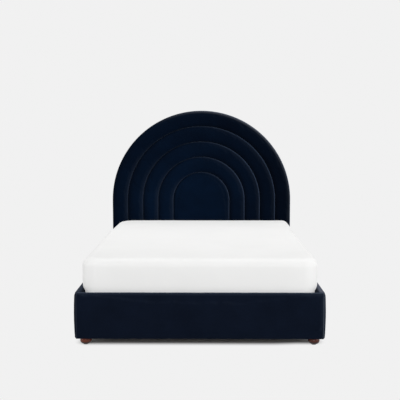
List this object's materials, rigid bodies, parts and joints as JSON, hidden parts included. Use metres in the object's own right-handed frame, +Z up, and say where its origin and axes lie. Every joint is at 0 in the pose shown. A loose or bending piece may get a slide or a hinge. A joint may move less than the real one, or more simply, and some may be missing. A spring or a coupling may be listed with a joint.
{
  "type": "upholstered bed",
  "caption": "Upholstered double bed with a round-arched channelled velvet headboard, padded rails, bun feet, slatted base and mattress in a white fitted sheet.",
  "frame": {"origin": "on the floor, at the middle of the bed's width and length", "axes": "+X to the right seen from the foot end, +Y from the foot to the headboard, +Z up"},
  "size_m": [1.6, 2.15, 1.53],
  "materials": {
    "velvet": "dark navy velvet, soft sheen",
    "foam": "open-cell upholstery foam",
    "plywood": "raw plywood",
    "dust_cover": "thin black non-woven cloth",
    "timber": "planed softwood",
    "slat_wood": "planed birch",
    "stained_wood": "turned wood, dark red-brown stain, gloss lacquer",
    "zinc_steel": "bright zinc plate",
    "black_steel": "black powder coat",
    "plastic": "black moulded plastic",
    "ticking": "quilted off-white ticking",
    "sheet": "smooth white cotton"
  },
  "bodies": {
    "frame": {"headboard_cover": "velvet", "headboard_border": "velvet", "headboard_lower_pad": "velvet", "footboard_cover": "velvet", "side_rail_left_cover": "velvet", "side_rail_right_cover": "velvet", "headboard_foam_outer": "foam", "headboard_foam_second": "foam", "headboard_foam_third": "foam", "headboard_foam_inner": "foam", "headboard_foam_centre": "foam", "footboard_foam": "foam", "side_rail_left_foam": "foam", "side_rail_right_foam": "foam", "headboard_front_board": "plywood", "headboard_arch_rim": "plywood", "headboard_uprights": "plywood", "headboard_crossbars": "plywood", "headboard_stile": "plywood", "footboard_panel": "plywood", "side_rail_left_panel": "plywood", "side_rail_right_panel": "plywood", "headboard_back_cover": "dust_cover", "head_rail": "timber", "corner_blocks": "timber", "slat_ledger_left": "timber", "slat_ledger_right": "timber", "centre_beam": "timber", "slat_01": "slat_wood", "slat_02": "slat_wood", "slat_03": "slat_wood", "slat_04": "slat_wood", "slat_05": "slat_wood", "slat_06": "slat_wood", "slat_07": "slat_wood", "slat_08": "slat_wood", "slat_09": "slat_wood", "slat_10": "slat_wood", "slat_11": "slat_wood", "slat_12": "slat_wood", "slat_13": "slat_wood", "bun_foot_front_left": "stained_wood", "bun_foot_front_right": "stained_wood", "bun_foot_rear_left": "stained_wood", "bun_foot_rear_right": "stained_wood", "bracket_bolts": "zinc_steel", "headboard_bolts": "zinc_steel", "foot_hanger_bolts": "zinc_steel", "foot_tee_nuts": "zinc_steel", "wood_screws": "zinc_steel", "beam_screws": "zinc_steel", "corner_brackets": "black_steel", "beam_hangers": "black_steel", "centre_legs": "black_steel", "centre_leg_inserts": "plastic", "foot_floor_pads": "plastic"},
    "bedding": {"mattress": "ticking", "fitted_sheet": "sheet"},
    "glide_foot_end": {"levelling_glide_foot_end": "plastic"},
    "glide_head_end": {"levelling_glide_head_end": "plastic"}
  },
  "joints": [
    {"name": "mattress_lift", "type": "slide", "parent": "frame", "child": "bedding", "axis": [0, 0, 1], "range_m": [0, 0.3]},
    {"name": "glide_foot_end_screw", "type": "slide", "parent": "frame", "child": "glide_foot_end", "axis": [0, 0, -1], "range_m": [-0.003, 0.015]},
    {"name": "glide_head_end_screw", "type": "slide", "parent": "frame", "child": "glide_head_end", "axis": [0, 0, -1], "range_m": [-0.003, 0.015]}
  ]
}
